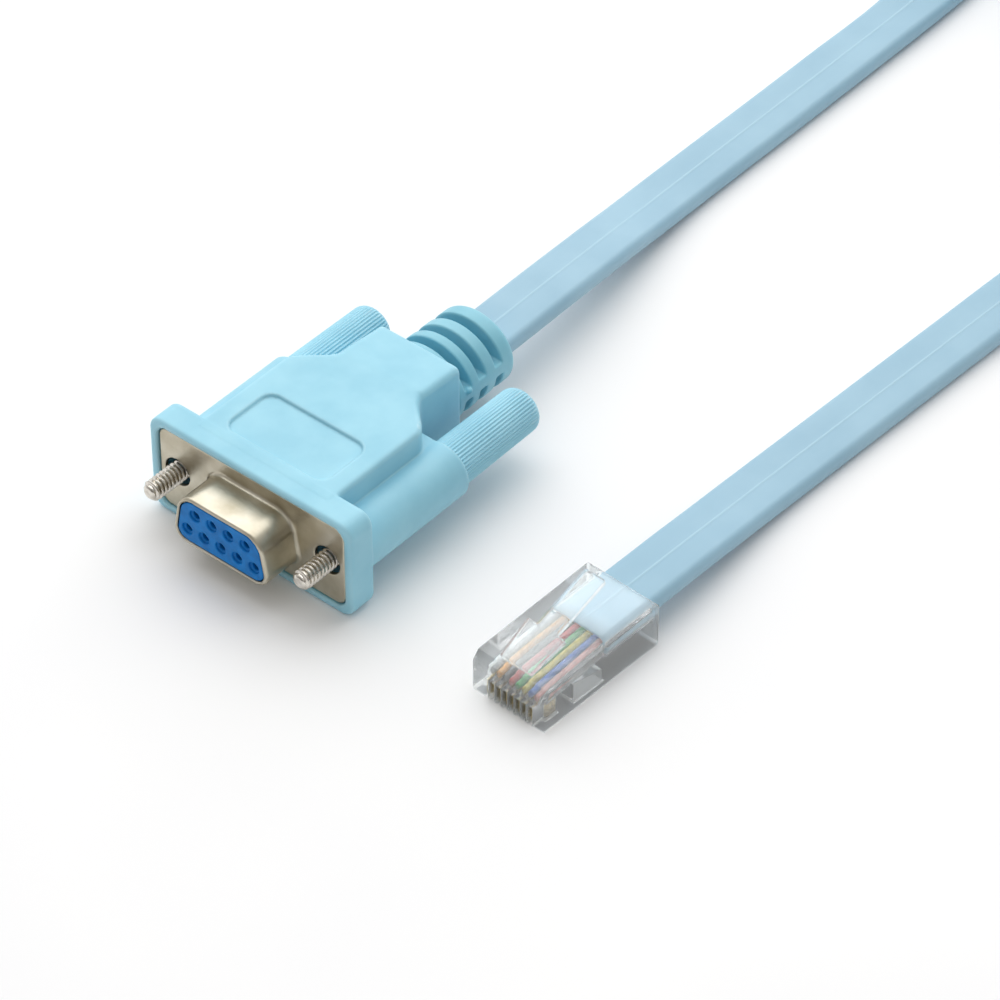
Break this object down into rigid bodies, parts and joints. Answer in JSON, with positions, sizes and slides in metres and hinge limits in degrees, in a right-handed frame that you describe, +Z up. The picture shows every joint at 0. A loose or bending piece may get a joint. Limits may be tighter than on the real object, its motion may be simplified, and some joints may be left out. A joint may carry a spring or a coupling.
{
  "type": "serial console cable",
  "caption": "Flat light-blue console cable: D-sub serial socket with thumbscrews at one end, clear modular plug at the other, spare length coiled and tied.",
  "frame": {"origin": "on the floor, under the middle of the nine-way connector's box (cord and plug left out)", "axes": "+Z up; the nine-way connector mates towards -Y and its cord leaves towards +Y; +X is across it, towards the modular plug"},
  "size_m": [0.1024, 0.2535, 0.0185],
  "materials": {
    "hood_blue": "satin moulded PVC",
    "relief_blue": "satin moulded PVC",
    "cord_blue": "smooth flexible PVC",
    "insulator_blue": "satin",
    "nickel": "nickel plated",
    "steel": "bright zinc plated",
    "gold": "gold plated",
    "tie_black": "hook and loop",
    "clear_plastic": "clear polycarbonate",
    "wire_grey": "satin wire insulation",
    "wire_orange": "satin wire insulation",
    "wire_black": "satin wire insulation",
    "wire_red": "satin wire insulation",
    "wire_green": "satin wire insulation",
    "wire_yellow": "satin wire insulation",
    "wire_blue": "satin wire insulation",
    "wire_brown": "satin wire insulation"
  },
  "bodies": {
    "cable": {"hood": "hood_blue", "strain_relief": "relief_blue", "front_shell": "nickel", "insulator": "insulator_blue", "socket_contact_1": "gold", "socket_contact_2": "gold", "socket_contact_3": "gold", "socket_contact_4": "gold", "socket_contact_5": "gold", "socket_contact_6": "gold", "socket_contact_7": "gold", "socket_contact_8": "gold", "socket_contact_9": "gold", "cord_from_hood": "cord_blue", "cord_coil": "cord_blue", "cord_to_plug": "cord_blue", "coil_tie": "tie_black", "plug_body": "clear_plastic", "plug_contact_1": "gold", "plug_contact_2": "gold", "plug_contact_3": "gold", "plug_contact_4": "gold", "plug_contact_5": "gold", "plug_contact_6": "gold", "plug_contact_7": "gold", "plug_contact_8": "gold", "conductor_1": "wire_grey", "conductor_2": "wire_orange", "conductor_3": "wire_black", "conductor_4": "wire_red", "conductor_5": "wire_green", "conductor_6": "wire_yellow", "conductor_7": "wire_blue", "conductor_8": "wire_brown"},
    "thumbscrew_left": {"knob_left": "hood_blue", "screw_left": "steel"},
    "thumbscrew_right": {"knob_right": "hood_blue", "screw_right": "steel"},
    "latch": {"plug_latch": "clear_plastic"}
  },
  "joints": [
    {"name": "thumbscrew_left_turn", "type": "hinge", "parent": "cable", "child": "thumbscrew_left", "pos_m": [-0.01249, 0, 0.0074], "axis": [0, 1, 0], "continuous": true},
    {"name": "thumbscrew_right_turn", "type": "hinge", "parent": "cable", "child": "thumbscrew_right", "pos_m": [0.01249, 0, 0.0074], "axis": [0, 1, 0], "continuous": true},
    {"name": "latch_press", "type": "hinge", "parent": "cable", "child": "latch", "pos_m": [0.04161, -0.01748, 0.00627], "axis": [-0.9994, 0.0349, 0], "range_deg": [0, 12], "stiffness_Nm_per_rad": 0.05}
  ]
}
